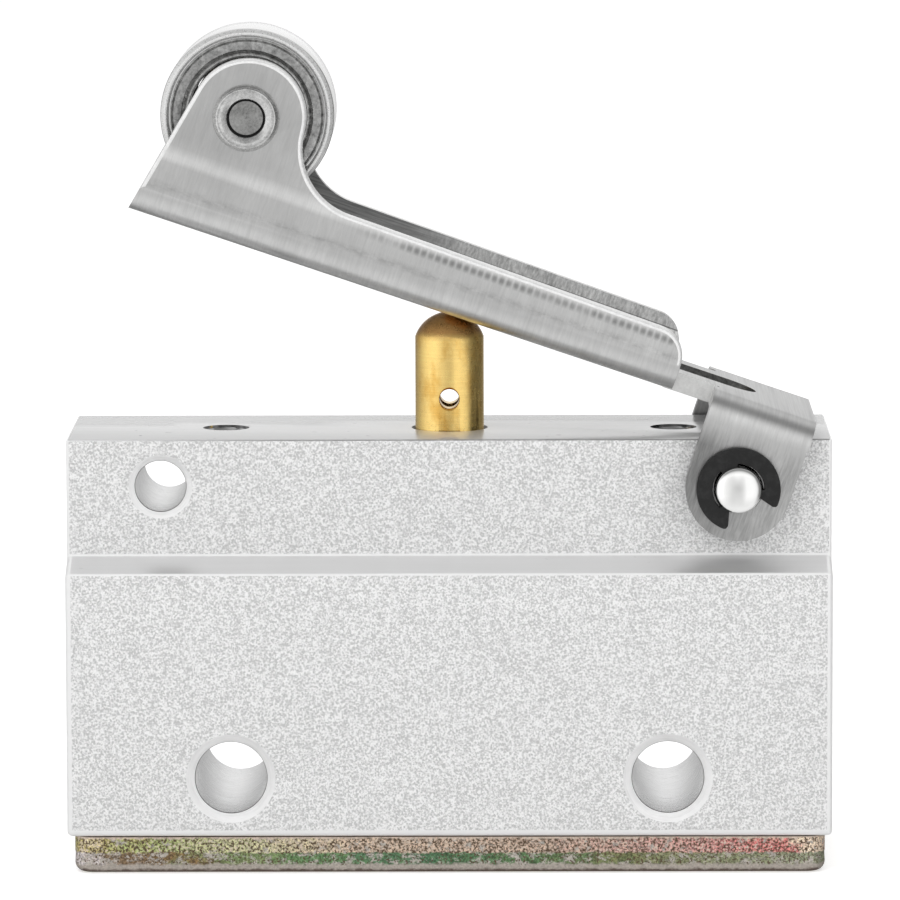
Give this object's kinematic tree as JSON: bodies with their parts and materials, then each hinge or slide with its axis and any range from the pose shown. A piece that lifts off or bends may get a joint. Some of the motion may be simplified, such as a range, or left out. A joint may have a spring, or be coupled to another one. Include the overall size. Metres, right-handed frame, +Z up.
{
  "type": "roller lever air valve",
  "caption": "Three-way air valve in an aluminium block, opened by pressing a sprung steel lever that carries a ball-bearing roller and pushes a domed brass plunger.",
  "frame": {"origin": "centre of the base plate's underside, which is the bottom centre of the bounding box", "axes": "+Z up out of the block's top, +X along the block towards the lever's pin, +Y through the block's thickness, away from the pictured front"},
  "size_m": [0.048, 0.0188, 0.0528],
  "materials": {
    "blasted_aluminium": "sandblasted and clear anodised, matt",
    "yellow_zinc": "zinc plated with a yellow iridescent passivation",
    "brushed_steel": "stainless sheet, brushed along its length",
    "polished_steel": "ground and polished hard steel",
    "bright_steel": "bright drawn or nickel plated steel",
    "brass": "turned brass, smooth",
    "black_oxide": "spring steel with black oxide",
    "black_rubber": "moulded nitrile rubber"
  },
  "bodies": {
    "housing": {"valve_body": "blasted_aluminium", "base_plate": "yellow_zinc", "base_screw_front_left": "yellow_zinc", "base_screw_front_right": "yellow_zinc", "base_screw_rear_left": "yellow_zinc", "base_screw_rear_right": "yellow_zinc", "cover_o_ring": "black_rubber", "seat_insert": "brass", "seat_o_ring": "black_rubber", "plunger_seal": "black_rubber", "plunger_spring": "bright_steel", "poppet_spring": "bright_steel", "pivot_pin": "polished_steel", "e_clip_front": "black_oxide", "e_clip_rear": "black_oxide"},
    "plunger": {"plunger": "brass"},
    "poppet": {"poppet_body": "brass", "poppet_seal": "black_rubber"},
    "lever": {"lever_arm": "brushed_steel", "roller_axle": "bright_steel", "roller_washer_front": "bright_steel", "roller_washer_rear": "bright_steel", "bearing_inner_ring": "bright_steel"},
    "roller": {"bearing_outer_ring": "polished_steel", "shield_front": "bright_steel", "shield_rear": "bright_steel"},
    "ball_set": {"ball_cage": "brass", "ball_1": "polished_steel", "ball_2": "polished_steel", "ball_3": "polished_steel", "ball_4": "polished_steel", "ball_5": "polished_steel", "ball_6": "polished_steel", "ball_7": "polished_steel", "ball_8": "polished_steel"}
  },
  "joints": [
    {"name": "lever_pivot", "type": "hinge", "parent": "housing", "child": "lever", "pos_m": [0.0181, 0, 0.02425], "axis": [0, -1, 0], "range_deg": [0, 8.5], "stiffness_Nm_per_rad": 0.03, "springref_deg": -11.46},
    {"name": "plunger_slide", "type": "slide", "parent": "housing", "child": "plunger", "axis": [0, 0, -1], "range_m": [0, 0.00295], "deforming": ["plunger_spring"]},
    {"name": "poppet_slide", "type": "slide", "parent": "housing", "child": "poppet", "axis": [0, 0, -1], "range_m": [0, 0.00203], "deforming": ["poppet_spring"]},
    {"name": "roller_spin", "type": "hinge", "parent": "lever", "child": "roller", "pos_m": [-0.01262, 0, 0.04733], "axis": [0, 1, 0], "continuous": true},
    {"name": "ball_set_spin", "type": "hinge", "parent": "lever", "child": "ball_set", "pos_m": [-0.01262, 0, 0.04733], "axis": [0, 1, 0], "continuous": true}
  ],
  "couplings": [
    {"joint": "plunger_slide", "follows": "lever_pivot", "m_per_rad": 0.019829},
    {"joint": "poppet_slide", "follows": "lever_pivot", "m_per_rad": 0.013628},
    {"joint": "ball_set_spin", "follows": "roller_spin", "ratio": 0.59639}
  ]
}
